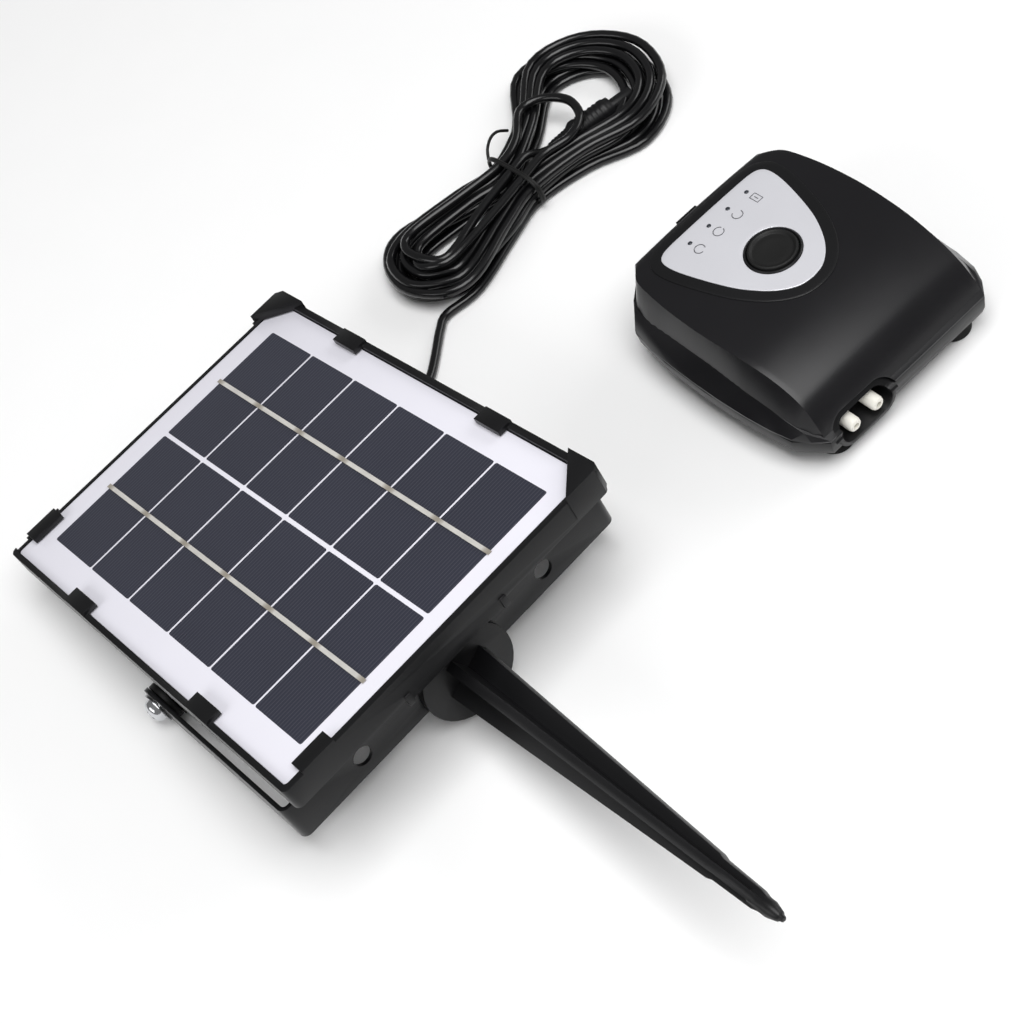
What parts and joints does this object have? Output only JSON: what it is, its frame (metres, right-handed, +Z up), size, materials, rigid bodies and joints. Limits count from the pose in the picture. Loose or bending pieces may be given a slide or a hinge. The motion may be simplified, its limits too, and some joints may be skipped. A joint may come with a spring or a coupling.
{
  "type": "solar air pump kit",
  "caption": "Flat solar panel on a tilting U-bracket with a ground stake, its lead tied in a hank, and a battery air pump with outlet nozzles.",
  "frame": {"origin": "on the floor, in the middle of the box round everything but the lead", "axes": "+X along the ground stake away from the panel, +Y from the panel to the pump, +Z up"},
  "size_m": [0.3227, 0.3163, 0.0564],
  "materials": {
    "black_plastic": "satin moulded",
    "satin_shell": "satin",
    "backsheet": "smooth laminate",
    "silicon": "smooth under laminate",
    "tinned_ribbon": "tinned",
    "rubber": "matt",
    "bright_steel": "bright plated",
    "black_steel": "black powder coat",
    "silver_label": "silver film",
    "ivory_plastic": "satin",
    "clear_hose": "soft silicone",
    "lamp_lens": "smoked",
    "cell_wrap": "shrink wrap",
    "board_green": "solder mask",
    "cord_jacket": "smooth jacket"
  },
  "bodies": {
    "panel": {"panel_frame": "black_plastic", "rear_cover": "black_plastic", "solar_board": "backsheet", "solar_cell_1_1": "silicon", "solar_cell_1_2": "silicon", "solar_cell_1_3": "silicon", "solar_cell_1_4": "silicon", "solar_cell_1_5": "silicon", "solar_cell_1_6": "silicon", "solar_cell_2_1": "silicon", "solar_cell_2_2": "silicon", "solar_cell_2_3": "silicon", "solar_cell_2_4": "silicon", "solar_cell_2_5": "silicon", "solar_cell_2_6": "silicon", "busbar_ribbon_1": "tinned_ribbon", "busbar_ribbon_2": "tinned_ribbon", "junction_box": "black_plastic", "junction_lid": "black_plastic", "cord_gland": "rubber", "pivot_screw_left": "bright_steel", "pivot_screw_right": "bright_steel", "pivot_nut_left": "bright_steel", "pivot_nut_right": "bright_steel", "pivot_washer_left": "rubber", "pivot_washer_right": "rubber", "lead_tube": "cord_jacket", "lead_hank": "cord_jacket", "hank_tie": "cord_jacket", "lead_plug": "black_plastic"},
    "yoke": {"bracket": "black_steel"},
    "stake": {"ground_stake": "black_plastic", "stake_screw": "bright_steel"},
    "pump": {"pump_upper_housing": "satin_shell", "pump_lower_housing": "black_plastic", "control_label": "silver_label", "suction_foot_1": "rubber", "suction_foot_2": "rubber", "suction_foot_3": "rubber", "suction_foot_4": "rubber", "housing_screw_1": "bright_steel", "housing_screw_2": "bright_steel", "housing_screw_3": "bright_steel", "housing_screw_4": "bright_steel", "outlet_nozzles": "ivory_plastic", "air_hose_1": "clear_hose", "air_hose_2": "clear_hose", "lamp_guide": "lamp_lens", "pump_motor": "bright_steel", "crank_case": "black_plastic", "diaphragm": "rubber", "valve_head": "black_plastic", "battery_cell": "cell_wrap", "control_board": "board_green", "switch_cap": "black_plastic", "power_socket": "black_plastic"},
    "button": {"power_button": "rubber"},
    "eccentric": {"drive_eccentric": "bright_steel"},
    "rocker": {"rocker_plate": "ivory_plastic"}
  },
  "joints": [
    {"name": "bracket_tilt", "type": "hinge", "parent": "panel", "child": "yoke", "pos_m": [-0.07248, -0.07094, 0.0075], "axis": [0, 1, 0], "range_deg": [-3, 120]},
    {"name": "stake_swivel", "type": "hinge", "parent": "yoke", "child": "stake", "pos_m": [0.01218, -0.07004, 0.01709], "axis": [0.9865, -0.0332, 0.1601], "continuous": true},
    {"name": "pump_stand", "type": "slide", "parent": "panel", "child": "pump", "axis": [0, 0, 1], "range_m": [0, 0.1]},
    {"name": "power_button_press", "type": "slide", "parent": "pump", "child": "button", "axis": [0, 0, -1], "range_m": [0, 0.0012], "stiffness_N_per_m": 700, "springref_m": -0.0004},
    {"name": "eccentric_spin", "type": "hinge", "parent": "pump", "child": "eccentric", "pos_m": [0.00418, 0.0793, 0.018], "axis": [0.998, -0.0637, 0], "continuous": true},
    {"name": "rocker_swing", "type": "hinge", "parent": "pump", "child": "rocker", "pos_m": [0.00587, 0.07919, 0.018], "axis": [0.0637, 0.998, 0], "range_deg": [-3, 3]}
  ]
}
